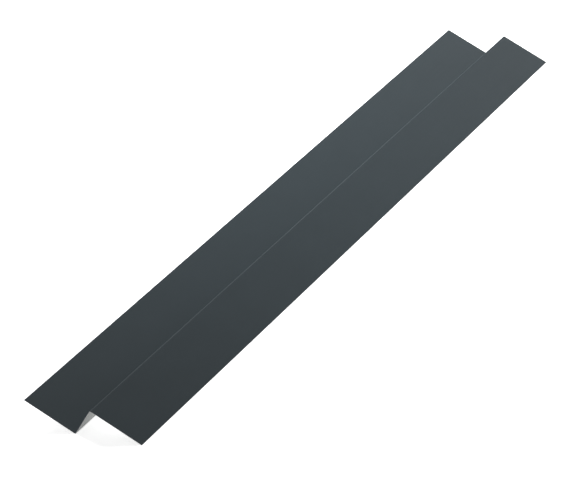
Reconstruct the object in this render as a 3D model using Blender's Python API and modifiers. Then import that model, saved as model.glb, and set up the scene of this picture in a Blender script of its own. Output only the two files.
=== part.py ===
"""Z flashing: one strip of coil-coated steel sheet, folded twice along its length.

The upstand stands against the wall behind the upper cladding, the shelf sheds water
over the top edge of the lower cladding, and the apron hangs down in front of it. The
section is drawn with the upstand level, as the middle line of the sheet from the
upstand's free edge (Y = 0) to the apron's, and it is run out along X. Loose, the strip
tips over its lower fold, so it is then laid down on that fold and the apron's edge.
Metres, +Z up, the middle of the strip's footprint at the origin.
"""

import math

import bmesh
import bpy
from mathutils import Matrix, Vector

# The widths run along the sheet, from the free edges to the sharp corners of the folds.
LENGTH = 2.000
UPSTAND_WIDTH = 0.115
SHELF_WIDTH = 0.062
APRON_WIDTH = 0.115
SHEET_THICKNESS = 0.0005
INSIDE_BEND_RADIUS = 0.0015

# With the upstand plumb, the shelf slopes down and away from the wall by this much.
SHELF_FALL = math.radians(6)

BEND_SEGMENTS = 14
SHARP_EDGE = math.radians(30)

FOLD_TURN = math.radians(90) - SHELF_FALL
MIDDLE_RADIUS = INSIDE_BEND_RADIUS + SHEET_THICKNESS / 2
OUTSIDE_BEND_RADIUS = INSIDE_BEND_RADIUS + SHEET_THICKNESS
SETBACK = MIDDLE_RADIUS * math.tan(FOLD_TURN / 2)

# Linear colour, roughness and metallic value of each side of the sheet.
TOP_COAT = ("top_coat", (0.055, 0.069, 0.075), 0.45, 0.0)
BACKING_COAT = ("backing_coat", (0.31, 0.335, 0.33), 0.5, 0.0)
CUT_EDGE = ("cut_edge", (0.56, 0.57, 0.58), 0.4, 1.0)


def clear_scene():
    for obj in list(bpy.data.objects):
        bpy.data.objects.remove(obj, do_unlink=True)


def coat_material(name, colour, roughness, metallic):
    material = bpy.data.materials.new(name)
    material.use_nodes = True
    shader = material.node_tree.nodes["Principled BSDF"]
    shader.inputs["Base Color"].default_value = (*colour, 1.0)
    shader.inputs["Roughness"].default_value = roughness
    shader.inputs["Metallic"].default_value = metallic
    return material


def along(heading):
    return Vector((math.cos(heading), math.sin(heading)))


def left_of(heading):
    return Vector((-math.sin(heading), math.cos(heading)))


def add_flat(line, heading, width):
    line.append(line[-1] + width * along(heading))


def add_bend(line, heading, turn):
    """Rounds one fold: to the left where the turn is positive, else to the right."""
    side = math.copysign(MIDDLE_RADIUS, turn)
    centre = line[-1] + side * left_of(heading)
    for segment in range(1, BEND_SEGMENTS + 1):
        reached = heading + turn * segment / BEND_SEGMENTS
        line.append(centre - side * left_of(reached))


def section_line():
    """The sheet's middle line in (Y, Z), with the upstand level and its painted side up."""
    line = [Vector((0.0, 0.0))]
    add_flat(line, 0.0, UPSTAND_WIDTH - SETBACK)
    add_bend(line, 0.0, FOLD_TURN)
    add_flat(line, FOLD_TURN, SHELF_WIDTH - 2 * SETBACK)
    add_bend(line, FOLD_TURN, -FOLD_TURN)
    add_flat(line, 0.0, APRON_WIDTH - SETBACK)
    return line


def sweep(line):
    """The open surface that the line makes along X, its faces looking to the painted side."""
    mesh = bpy.data.meshes.new("z_flashing")
    bm = bmesh.new()
    points = [bm.verts.new((-LENGTH / 2, y, z)) for y, z in line]
    edges = [bm.edges.new(pair) for pair in zip(points, points[1:])]
    swept = bmesh.ops.extrude_edge_only(bm, edges=edges)["geom"]
    far_points = [part for part in swept if isinstance(part, bmesh.types.BMVert)]
    bmesh.ops.translate(bm, verts=far_points, vec=(LENGTH, 0.0, 0.0))
    bm.to_mesh(mesh)
    bm.free()
    return mesh


def thicken(strip):
    """Gives the sheet its thickness about the middle line, each side in its own coat."""
    solidify = strip.modifiers.new("sheet", "SOLIDIFY")
    solidify.thickness = SHEET_THICKNESS
    solidify.offset = 0.0
    solidify.use_even_offset = True
    solidify.material_offset = 1
    solidify.material_offset_rim = 2
    bpy.context.view_layer.objects.active = strip
    bpy.ops.object.modifier_apply(modifier=solidify.name)
    strip.data.shade_smooth()
    strip.data.set_sharp_from_angle(angle=SHARP_EDGE)


def resting_tilt(lower_fold_centre, apron_corner):
    """How far the strip tips until the lower fold and the apron's edge are level."""
    reach = apron_corner - lower_fold_centre
    return math.atan2(reach.y, reach.x) + math.asin(OUTSIDE_BEND_RADIUS / reach.length)


def lay_down(strip, line):
    """Tips the strip about its length and sets it on the floor, centred."""
    lower_fold_centre = Vector((UPSTAND_WIDTH - SETBACK, MIDDLE_RADIUS))
    apron_corner = line[-1] - Vector((0.0, SHEET_THICKNESS / 2))
    tilt = resting_tilt(lower_fold_centre, apron_corner)
    tipped = Matrix.Rotation(-tilt, 2)
    middle = tipped @ ((line[0] + line[-1]) / 2)
    floor_height = (tipped @ lower_fold_centre).y - OUTSIDE_BEND_RADIUS
    strip.rotation_euler.x = -tilt
    strip.location = (0.0, -middle.x, -floor_height)


def build_strip(collection):
    line = section_line()
    strip = bpy.data.objects.new("z_flashing", sweep(line))
    collection.objects.link(strip)
    for finish in (TOP_COAT, BACKING_COAT, CUT_EDGE):
        strip.data.materials.append(coat_material(*finish))
    thicken(strip)
    lay_down(strip, line)


def main():
    clear_scene()
    collection = bpy.data.collections.new("z_flashing")
    bpy.context.scene.collection.children.link(collection)
    build_strip(collection)


main()
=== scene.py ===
import math

import bpy
from mathutils import Matrix, Vector


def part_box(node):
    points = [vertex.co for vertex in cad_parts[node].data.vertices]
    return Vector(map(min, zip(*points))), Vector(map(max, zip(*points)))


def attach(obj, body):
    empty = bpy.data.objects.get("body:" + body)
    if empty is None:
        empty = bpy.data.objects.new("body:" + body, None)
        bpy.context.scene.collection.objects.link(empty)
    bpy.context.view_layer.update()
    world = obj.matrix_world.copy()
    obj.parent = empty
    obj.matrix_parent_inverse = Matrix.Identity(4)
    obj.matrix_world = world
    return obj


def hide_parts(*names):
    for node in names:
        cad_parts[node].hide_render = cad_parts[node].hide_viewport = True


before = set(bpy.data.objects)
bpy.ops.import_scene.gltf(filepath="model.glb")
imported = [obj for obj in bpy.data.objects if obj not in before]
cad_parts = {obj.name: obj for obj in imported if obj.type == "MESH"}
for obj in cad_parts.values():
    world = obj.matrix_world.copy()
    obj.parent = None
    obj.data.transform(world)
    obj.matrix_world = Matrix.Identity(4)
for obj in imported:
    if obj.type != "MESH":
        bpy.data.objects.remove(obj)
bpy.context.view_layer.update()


# The strip is one length of coil-coated steel sheet, slit to width and folded twice on a
# press brake, with nothing fixed to it. Its upstand goes up behind the cladding above, its
# shelf sheds water over the top of the cladding below, and its apron hangs in front of that.
UPSTAND_WIDTH = 0.115
SHELF_WIDTH = 0.062
APRON_WIDTH = 0.115
SHEET_THICKNESS = 0.0005
INSIDE_BEND_RADIUS = 0.0015
SHELF_FALL = math.radians(6)
BEND_SEGMENTS = 20
SHEARED_EDGE_ROUND = 0.00006
SHEARED_CORNER = math.radians(60)
MERGE_DISTANCE = 0.000001

strip_low, strip_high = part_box("z_flashing")
STRIP_LENGTH = strip_high.x - strip_low.x
FOLD_TURN = math.radians(90) - SHELF_FALL
MIDDLE_RADIUS = INSIDE_BEND_RADIUS + SHEET_THICKNESS / 2
OUTSIDE_BEND_RADIUS = INSIDE_BEND_RADIUS + SHEET_THICKNESS
SETBACK = MIDDLE_RADIUS * math.tan(FOLD_TURN / 2)
BEND_LENGTH = MIDDLE_RADIUS * FOLD_TURN
LOWER_FOLD_AT = UPSTAND_WIDTH - SETBACK + BEND_LENGTH / 2
UPPER_FOLD_AT = LOWER_FOLD_AT + SHELF_WIDTH - 2 * SETBACK + BEND_LENGTH


def link(tree, source, target):
    tree.links.new(source, target)


def add_node(tree, kind, **settings):
    node = tree.nodes.new(kind)
    for name, value in settings.items():
        setattr(node, name, value)
    return node


def feed(tree, value, socket):
    """Sets a socket to a number, or links it where the value comes from another node."""
    if isinstance(value, (int, float)):
        socket.default_value = value
    else:
        link(tree, value, socket)


def maths(tree, operation, first, second=0.0, third=0.0):
    node = add_node(tree, "ShaderNodeMath", operation=operation)
    for value, socket in zip((first, second, third), node.inputs):
        feed(tree, value, socket)
    return node.outputs[0]


def point(tree, x, y, z):
    node = add_node(tree, "ShaderNodeCombineXYZ")
    for value, socket in zip((x, y, z), node.inputs):
        feed(tree, value, socket)
    return node.outputs["Vector"]


def principled(name):
    material = bpy.data.materials.new(name)
    material.use_nodes = True
    return material, material.node_tree, material.node_tree.nodes["Principled BSDF"]


def on_the_flat(tree):
    """Metres along the strip and across it, as on the sheet before it was folded."""
    return add_node(tree, "ShaderNodeUVMap", uv_map="UVMap").outputs["UV"]


def noise(tree, along, across, detail=2.0):
    """Noise on the unfolded sheet, with so many waves to the metre each way."""
    mapping = add_node(tree, "ShaderNodeMapping")
    mapping.inputs["Scale"].default_value = (along, across, 1.0)
    link(tree, on_the_flat(tree), mapping.inputs["Vector"])
    texture = add_node(tree, "ShaderNodeTexNoise")
    texture.inputs["Scale"].default_value = 1.0
    texture.inputs["Detail"].default_value = detail
    link(tree, mapping.outputs["Vector"], texture.inputs["Vector"])
    return texture.outputs["Fac"]


def spread(tree, source, low=0.0, high=1.0, from_low=0.3, from_high=0.7):
    """Stretches a range of the source, by default the one that noise mostly keeps to, to another."""
    ranged = add_node(tree, "ShaderNodeMapRange")
    ranged.inputs["From Min"].default_value = from_low
    ranged.inputs["From Max"].default_value = from_high
    ranged.inputs["To Min"].default_value = low
    ranged.inputs["To Max"].default_value = high
    link(tree, source, ranged.inputs["Value"])
    return ranged.outputs["Result"]


def blend(tree, factor, first, second):
    """Mixes two colours, each a tuple or a colour that another node gives."""
    mix = add_node(tree, "ShaderNodeMix", data_type="RGBA")
    link(tree, factor, mix.inputs["Factor"])
    for colour, socket in ((first, mix.inputs["A"]), (second, mix.inputs["B"])):
        if isinstance(colour, tuple):
            socket.default_value = (*colour, 1.0)
        else:
            link(tree, colour, socket)
    return mix.outputs["Result"]


def relief(tree, height, depth, below=None):
    """Bumps so many metres deep, on top of those below where there are any."""
    bump = add_node(tree, "ShaderNodeBump")
    bump.inputs["Strength"].default_value = 1.0
    bump.inputs["Distance"].default_value = depth
    link(tree, height, bump.inputs["Height"])
    if below is not None:
        link(tree, below, bump.inputs["Normal"])
    return bump.outputs["Normal"]


THINNEST_WITHIN = 0.2 * BEND_LENGTH
THINNED_WITHIN = 1.1 * BEND_LENGTH


def stretched_at(tree, fold_at):
    """One along the middle of a fold, where the coat is drawn thin, and zero a little past it."""
    parts = add_node(tree, "ShaderNodeSeparateXYZ")
    link(tree, on_the_flat(tree), parts.inputs["Vector"])
    away = maths(tree, "ABSOLUTE", maths(tree, "SUBTRACT", parts.outputs["Y"], fold_at))
    return spread(tree, away, low=1.0, high=0.0, from_low=THINNEST_WITHIN, from_high=THINNED_WITHIN)


SLATE = (0.0444, 0.061, 0.07)
LIGHTER_SLATE = (0.0469, 0.0645, 0.074)
SLATE_GRAIN = (0.075, 0.09, 0.098)
# Paler slate for the upper fold: partly crazed coat, partly a painted highlight of the fold's round.
CRAZE_AND_PAINTED_FOLD_HIGHLIGHT = (0.1, 0.115, 0.12)
SLATE_ROUGHNESS = (0.36, 0.42)
ROUGHER_WHERE_THIN = 0.55
SLATE_SPECULAR = 0.35
WRINKLE_DEPTH = 0.00004
ROLLER_LINE_DEPTH = 0.000004


def top_coat():
    """Slate grey polyester, baked on in the coil: semi-matt, with a wrinkled grain finer than
    a millimetre, faint lines along the coil from the roller, and a duller line where the
    upper fold draws it thin. That line is also painted paler: partly the crazed coat, partly
    a painted highlight along the fold's round."""
    material, tree, shader = principled("top_coat")
    tone = spread(tree, noise(tree, along=9.0, across=14.0))
    colour = blend(tree, tone, SLATE, LIGHTER_SLATE)
    grain = spread(tree, noise(tree, along=2600.0, across=2600.0, detail=1.0), high=0.16)
    colour = blend(tree, grain, colour, SLATE_GRAIN)
    thin = stretched_at(tree, UPPER_FOLD_AT)
    cracks = spread(tree, noise(tree, along=700.0, across=90.0), low=0.1, high=0.25)
    # The paler colour along the upper fold is partly the coat crazing where it is drawn thin and partly
    # a painted highlight of the fold's round.
    colour = blend(tree, maths(tree, "MULTIPLY", thin, cracks), colour, CRAZE_AND_PAINTED_FOLD_HIGHLIGHT)
    link(tree, colour, shader.inputs["Base Color"])
    lines = spread(tree, noise(tree, along=3.0, across=520.0, detail=3.0), *SLATE_ROUGHNESS)
    roughness = maths(tree, "MULTIPLY_ADD", thin, ROUGHER_WHERE_THIN, lines)
    link(tree, roughness, shader.inputs["Roughness"])
    wrinkled = relief(tree, noise(tree, along=1600.0, across=1600.0), WRINKLE_DEPTH)
    rolled = relief(tree, noise(tree, along=6.0, across=430.0), ROLLER_LINE_DEPTH, wrinkled)
    link(tree, rolled, shader.inputs["Normal"])
    shader.inputs["Specular IOR Level"].default_value = SLATE_SPECULAR
    return material


WASH_GREY = (0.53, 0.547, 0.536)
LIGHTER_WASH_GREY = (0.574, 0.585, 0.574)
ZINC_SHOWING = (0.48, 0.494, 0.486)
WASH_CRAZE = (0.36, 0.37, 0.372)
WASH_ROUGHNESS = (0.48, 0.62)
MOTTLE_DEPTH = 0.000006


def backing_coat():
    """A pale grey wash coat, thinner and duller than the top coat. It is streaked along the
    coil by its roller, and the zinc's grain shows through it a little."""
    material, tree, shader = principled("backing_coat")
    streak = spread(tree, noise(tree, along=2.0, across=260.0, detail=3.0))
    colour = blend(tree, streak, WASH_GREY, LIGHTER_WASH_GREY)
    spangle = spread(tree, noise(tree, along=160.0, across=160.0, detail=3.0), high=0.35)
    colour = blend(tree, spangle, colour, ZINC_SHOWING)
    thin = stretched_at(tree, LOWER_FOLD_AT)
    cracks = spread(tree, noise(tree, along=700.0, across=90.0), low=0.1, high=0.5)
    colour = blend(tree, maths(tree, "MULTIPLY", thin, cracks), colour, WASH_CRAZE)
    link(tree, colour, shader.inputs["Base Color"])
    lines = spread(tree, noise(tree, along=5.0, across=340.0, detail=3.0), *WASH_ROUGHNESS)
    link(tree, lines, shader.inputs["Roughness"])
    mottle = noise(tree, along=500.0, across=700.0, detail=3.0)
    link(tree, relief(tree, mottle, MOTTLE_DEPTH), shader.inputs["Normal"])
    return material


TORN_STEEL = (0.2, 0.205, 0.21)
BURNISHED_STEEL = (0.34, 0.35, 0.36)
TORN_ROUGHNESS = 0.62
BURNISHED_ROUGHNESS = 0.34
TORN_BELOW = 0.7
BURNISHED_ABOVE = 0.8
TEAR_REACH = 0.3
TEAR_WAVES = 2400.0
TEAR_DEPTH = 0.00002


def sheared_edge():
    """Bare steel. The blade burnishes the side that it enters, and the rest tears off dull
    and rough."""
    material, tree, shader = principled("sheared_edge")
    depth = add_node(tree, "ShaderNodeAttribute", attribute_name="depth").outputs["Fac"]
    where = add_node(tree, "ShaderNodeTexCoord").outputs["Object"]
    tear = add_node(tree, "ShaderNodeTexNoise")
    tear.inputs["Scale"].default_value = TEAR_WAVES
    link(tree, where, tear.inputs["Vector"])
    ragged = maths(tree, "MULTIPLY_ADD", tear.outputs["Fac"], TEAR_REACH, depth)
    burnished = spread(tree, ragged, from_low=TORN_BELOW, from_high=BURNISHED_ABOVE)
    link(tree, blend(tree, burnished, TORN_STEEL, BURNISHED_STEEL), shader.inputs["Base Color"])
    roughness = spread(tree, burnished, TORN_ROUGHNESS, BURNISHED_ROUGHNESS, from_low=0.0, from_high=1.0)
    link(tree, roughness, shader.inputs["Roughness"])
    shader.inputs["Metallic"].default_value = 1.0
    link(tree, relief(tree, tear.outputs["Fac"], TEAR_DEPTH), shader.inputs["Normal"])
    return material


def folded_sheet(top, back, edge):
    """Rounds a section of four corners at its folds, runs it out along X and gives it the
    sheet's thickness, half to each side, with a finish for each side and for the cut edges."""
    tree = bpy.data.node_groups.new("folded_sheet", "GeometryNodeTree")
    tree.interface.new_socket("Geometry", in_out="OUTPUT", socket_type="NodeSocketGeometry")
    for name in ("Length", "Upstand Width", "Shelf Width", "Apron Width", "Sheet Thickness",
                 "Middle Radius", "Fold Turn"):
        tree.interface.new_socket(name, in_out="INPUT", socket_type="NodeSocketFloat")
    tree.interface.new_socket("Bend Segments", in_out="INPUT", socket_type="NodeSocketInt")
    given = add_node(tree, "NodeGroupInput").outputs

    # The middle line of the sheet at one end, with the upstand level.
    start = maths(tree, "MULTIPLY", given["Length"], -0.5)
    run = maths(tree, "MULTIPLY", given["Shelf Width"], maths(tree, "COSINE", given["Fold Turn"]))
    rise = maths(tree, "MULTIPLY", given["Shelf Width"], maths(tree, "SINE", given["Fold Turn"]))
    upper_fold = maths(tree, "ADD", given["Upstand Width"], run)
    apron_edge = maths(tree, "ADD", upper_fold, given["Apron Width"])
    corners = [
        point(tree, start, 0.0, 0.0),
        point(tree, start, given["Upstand Width"], 0.0),
        point(tree, start, upper_fold, rise),
        point(tree, start, apron_edge, rise),
    ]
    which = add_node(tree, "GeometryNodeIndexSwitch", data_type="VECTOR")
    while len(which.index_switch_items) < len(corners):
        which.index_switch_items.new()
    index = add_node(tree, "GeometryNodeInputIndex")
    link(tree, index.outputs["Index"], which.inputs["Index"])
    for number, corner in enumerate(corners):
        link(tree, corner, which.inputs[1 + number])
    sketch = add_node(tree, "GeometryNodeMeshLine")
    sketch.inputs["Count"].default_value = len(corners)
    placed = add_node(tree, "GeometryNodeSetPosition")
    link(tree, sketch.outputs["Mesh"], placed.inputs["Geometry"])
    link(tree, which.outputs["Output"], placed.inputs["Position"])
    section = add_node(tree, "GeometryNodeMeshToCurve")
    link(tree, placed.outputs["Geometry"], section.inputs["Mesh"])
    rounded = add_node(tree, "GeometryNodeFilletCurve", mode="POLY")
    link(tree, section.outputs["Curve"], rounded.inputs["Curve"])
    link(tree, given["Bend Segments"], rounded.inputs["Count"])
    link(tree, given["Middle Radius"], rounded.inputs["Radius"])

    # Each point keeps its distance along the section as the line is run out to a surface.
    along_section = add_node(tree, "GeometryNodeSplineParameter")
    across = add_node(tree, "GeometryNodeStoreNamedAttribute", data_type="FLOAT", domain="POINT")
    across.inputs["Name"].default_value = "across"
    link(tree, rounded.outputs["Curve"], across.inputs["Geometry"])
    link(tree, along_section.outputs["Length"], across.inputs["Value"])
    outline = add_node(tree, "GeometryNodeCurveToMesh")
    link(tree, across.outputs["Geometry"], outline.inputs["Curve"])
    run_out = add_node(tree, "GeometryNodeExtrudeMesh", mode="EDGES")
    link(tree, outline.outputs["Mesh"], run_out.inputs["Mesh"])
    link(tree, point(tree, given["Length"], 0.0, 0.0), run_out.inputs["Offset"])

    # X and that distance are the UV map, so a finish follows the sheet round its folds.
    place = add_node(tree, "ShaderNodeSeparateXYZ")
    position = add_node(tree, "GeometryNodeInputPosition")
    link(tree, position.outputs["Position"], place.inputs["Vector"])
    width = add_node(tree, "GeometryNodeInputNamedAttribute", data_type="FLOAT")
    width.inputs["Name"].default_value = "across"
    on_flat = point(tree, place.outputs["X"], width.outputs["Attribute"], 0.0)
    flat = add_node(tree, "GeometryNodeStoreNamedAttribute", data_type="FLOAT2", domain="CORNER")
    flat.inputs["Name"].default_value = "UVMap"
    link(tree, run_out.outputs["Mesh"], flat.inputs["Geometry"])
    link(tree, on_flat, flat.inputs["Value"])

    # The surface moves back by half the sheet and the face is raised from it, so that depth
    # is zero at the sheet's back and one at its face.
    normal = add_node(tree, "GeometryNodeInputNormal")
    half_back = add_node(tree, "ShaderNodeVectorMath", operation="SCALE")
    link(tree, normal.outputs["Normal"], half_back.inputs["Vector"])
    link(tree, maths(tree, "MULTIPLY", given["Sheet Thickness"], -0.5), half_back.inputs["Scale"])
    back_side = add_node(tree, "GeometryNodeSetPosition")
    link(tree, flat.outputs["Geometry"], back_side.inputs["Geometry"])
    link(tree, half_back.outputs["Vector"], back_side.inputs["Offset"])
    thick = add_node(tree, "GeometryNodeExtrudeMesh", mode="FACES")
    thick.inputs["Individual"].default_value = False
    link(tree, back_side.outputs["Geometry"], thick.inputs["Mesh"])
    link(tree, given["Sheet Thickness"], thick.inputs["Offset Scale"])
    depth = add_node(tree, "GeometryNodeStoreNamedAttribute", data_type="FLOAT", domain="POINT")
    depth.inputs["Name"].default_value = "depth"
    link(tree, thick.outputs["Mesh"], depth.inputs["Geometry"])
    link(tree, thick.outputs["Top"], depth.inputs["Value"])
    turned = add_node(tree, "GeometryNodeFlipFaces")
    link(tree, back_side.outputs["Geometry"], turned.inputs["Mesh"])
    closed = add_node(tree, "GeometryNodeJoinGeometry")
    link(tree, depth.outputs["Geometry"], closed.inputs["Geometry"])
    link(tree, turned.outputs["Mesh"], closed.inputs["Geometry"])
    welded = add_node(tree, "GeometryNodeMergeByDistance")
    welded.inputs["Distance"].default_value = MERGE_DISTANCE
    link(tree, closed.outputs["Geometry"], welded.inputs["Geometry"])
    smooth = add_node(tree, "GeometryNodeSetShadeSmooth")
    link(tree, welded.outputs["Geometry"], smooth.inputs["Geometry"])

    # The back's finish goes on first, all over, and then those of the face and the edges.
    real = add_node(tree, "GeometryNodeRealizeInstances")
    link(tree, smooth.outputs["Geometry"], real.inputs["Geometry"])
    made = real.outputs["Geometry"]
    for material, faces in ((back, None), (top, thick.outputs["Top"]), (edge, thick.outputs["Side"])):
        finish = add_node(tree, "GeometryNodeSetMaterial")
        finish.inputs["Material"].default_value = material
        link(tree, made, finish.inputs["Geometry"])
        if faces is not None:
            link(tree, faces, finish.inputs["Selection"])
        made = finish.outputs["Geometry"]
    link(tree, made, add_node(tree, "NodeGroupOutput").inputs["Geometry"])
    return tree


def lay_on_the_floor(mesh):
    """Tips the strip back until its lower fold and its apron's edge both touch the floor, and
    sets its middle over the origin."""
    fold_centre = Vector((UPSTAND_WIDTH - SETBACK, MIDDLE_RADIUS))
    shelf = SHELF_WIDTH * Vector((math.cos(FOLD_TURN), math.sin(FOLD_TURN)))
    apron_edge = Vector((UPSTAND_WIDTH + APRON_WIDTH, 0.0)) + shelf
    reach = apron_edge - Vector((0.0, SHEET_THICKNESS / 2)) - fold_centre
    tilt = math.atan2(reach.y, reach.x) + math.asin(OUTSIDE_BEND_RADIUS / reach.length)
    mesh.transform(Matrix.Rotation(-tilt, 4, "X"))
    widths = [vertex.co.y for vertex in mesh.vertices]
    floor_level = min(vertex.co.z for vertex in mesh.vertices)
    mesh.transform(Matrix.Translation((0.0, -(min(widths) + max(widths)) / 2, -floor_level)))


tree = folded_sheet(top_coat(), backing_coat(), sheared_edge())
sizes = {
    "Length": STRIP_LENGTH,
    "Upstand Width": UPSTAND_WIDTH,
    "Shelf Width": SHELF_WIDTH,
    "Apron Width": APRON_WIDTH,
    "Sheet Thickness": SHEET_THICKNESS,
    "Middle Radius": MIDDLE_RADIUS,
    "Fold Turn": FOLD_TURN,
    "Bend Segments": BEND_SEGMENTS,
}
strip = bpy.data.objects.new("folded_strip", bpy.data.meshes.new("folded_strip"))
bpy.context.scene.collection.objects.link(strip)
folding = strip.modifiers.new("folding", "NODES")
folding.node_group = tree
for socket in tree.interface.items_tree:
    if socket.in_out == "INPUT":
        folding[socket.identifier] = sizes[socket.name]
shearing = strip.modifiers.new("shearing", "BEVEL")
shearing.width = SHEARED_EDGE_ROUND
shearing.segments = 2
shearing.limit_method = "ANGLE"
shearing.angle_limit = SHEARED_CORNER
flatness = strip.modifiers.new("flatness", "WEIGHTED_NORMAL")
flatness.mode = "FACE_AREA"
flatness.weight = 100
graph = bpy.context.evaluated_depsgraph_get()
strip.data = bpy.data.meshes.new_from_object(strip.evaluated_get(graph))
strip.data.materials.pop(index=0)  # an empty slot that stands before the three finishes
strip.modifiers.clear()
lay_on_the_floor(strip.data)
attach(strip, "root")
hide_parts("z_flashing")


# The camera stands well off the strip's near end and to the apron's side, with a long lens,
# so that the long edges draw together only a little towards the far end.
CAMERA_AIM = Vector((0.151, 0.0052, 0.0261))
CAMERA_DISTANCE = 7.027
CAMERA_AZIMUTH = math.radians(116.54)
CAMERA_ELEVATION = math.radians(23.95)
CAMERA_ROLL = math.radians(-3.18)
CAMERA_LENS = 221.0

camera_data = bpy.data.cameras.new("camera")
camera_data.lens = CAMERA_LENS
camera = bpy.data.objects.new("camera", camera_data)
bpy.context.scene.collection.objects.link(camera)
turn = (
    Matrix.Rotation(CAMERA_AZIMUTH, 3, "Z")
    @ Matrix.Rotation(math.radians(90) - CAMERA_ELEVATION, 3, "X")
    @ Matrix.Rotation(CAMERA_ROLL, 3, "Z")
)
camera.rotation_euler = turn.to_euler()
camera.location = CAMERA_AIM + CAMERA_DISTANCE * turn.col[2]
bpy.context.scene.camera = camera


# The floor is a plain white sheet under the strip. Its glow shows to the camera and in the
# strip's gloss but lights nothing, so that it is white and still keeps the soft shadow.
FLOOR_HALF_WIDTH = 40.0
FLOOR_COLOUR = (0.9, 0.9, 0.9, 1.0)
FLOOR_ROUGHNESS = 0.9
FLOOR_GLOW = 0.75
WHITE = (1.0, 1.0, 1.0, 1.0)

floor_mesh = bpy.data.meshes.new("floor")
reaches = (-FLOOR_HALF_WIDTH, FLOOR_HALF_WIDTH)
corners = [(x, y, 0.0) for x in reaches for y in reaches]
floor_mesh.from_pydata(corners, [], [(0, 2, 3, 1)])
floor = bpy.data.objects.new("floor", floor_mesh)
bpy.context.scene.collection.objects.link(floor)
paint, tree, shader = principled("floor_paint")
shader.inputs["Base Color"].default_value = FLOOR_COLOUR
shader.inputs["Roughness"].default_value = FLOOR_ROUGHNESS
shader.inputs["Emission Color"].default_value = WHITE
ray = add_node(tree, "ShaderNodeLightPath").outputs
mirrored = maths(tree, "MAXIMUM", ray["Is Glossy Ray"], ray["Is Transmission Ray"])
seen = maths(tree, "MAXIMUM", ray["Is Camera Ray"], mirrored)
link(tree, maths(tree, "MULTIPLY", seen, FLOOR_GLOW), shader.inputs["Emission Strength"])
floor_mesh.materials.append(paint)


# A strong softbox beside the strip is turned past its far end, and two wider, weaker ones fill
# in from that end and from the side. A thin, dim panel under the apron lights the hollow. The
# room is a plain even grey, and white to the camera.
ROOM_STRENGTH = 0.2

world = bpy.data.worlds.new("room")
bpy.context.scene.world = world
world.use_nodes = True
room = world.node_tree
camera_ray = add_node(room, "ShaderNodeLightPath").outputs["Is Camera Ray"]
brightness = spread(room, camera_ray, low=ROOM_STRENGTH, from_low=0.0, from_high=1.0)
link(room, brightness, room.nodes["Background"].inputs["Strength"])
room.nodes["Background"].inputs["Color"].default_value = WHITE


def softbox(name, place, aim, width, height, power):
    light = bpy.data.lights.new(name, "AREA")
    light.shape = "RECTANGLE"
    light.size = width
    light.size_y = height
    light.energy = power
    lamp = bpy.data.objects.new(name, light)
    lamp.location = place
    lamp.rotation_euler = (Vector(aim) - Vector(place)).to_track_quat("-Z", "Y").to_euler()
    lamp.visible_camera = False
    bpy.context.scene.collection.objects.link(lamp)


softbox("key_softbox", place=(-0.4, -1.3, 1.77), aim=(-1.54, -0.39, 0.0),
        width=1.2, height=1.2, power=88.0)
softbox("rear_softbox", place=(-3.18, 0.1, 0.7), aim=(-0.6, 0.0, 0.0),
        width=2.6, height=1.2, power=5.9)
softbox("left_softbox", place=(-1.8, -2.4, 1.2), aim=(-0.8, 0.0, 0.0),
        width=2.0, height=1.5, power=15.0)
softbox("hollow_panel", place=(0.0, 0.067, 0.022), aim=(0.0, -0.383, -0.868),
        width=1.9, height=0.09, power=0.42)

bpy.context.scene.view_settings.view_transform = "Standard"
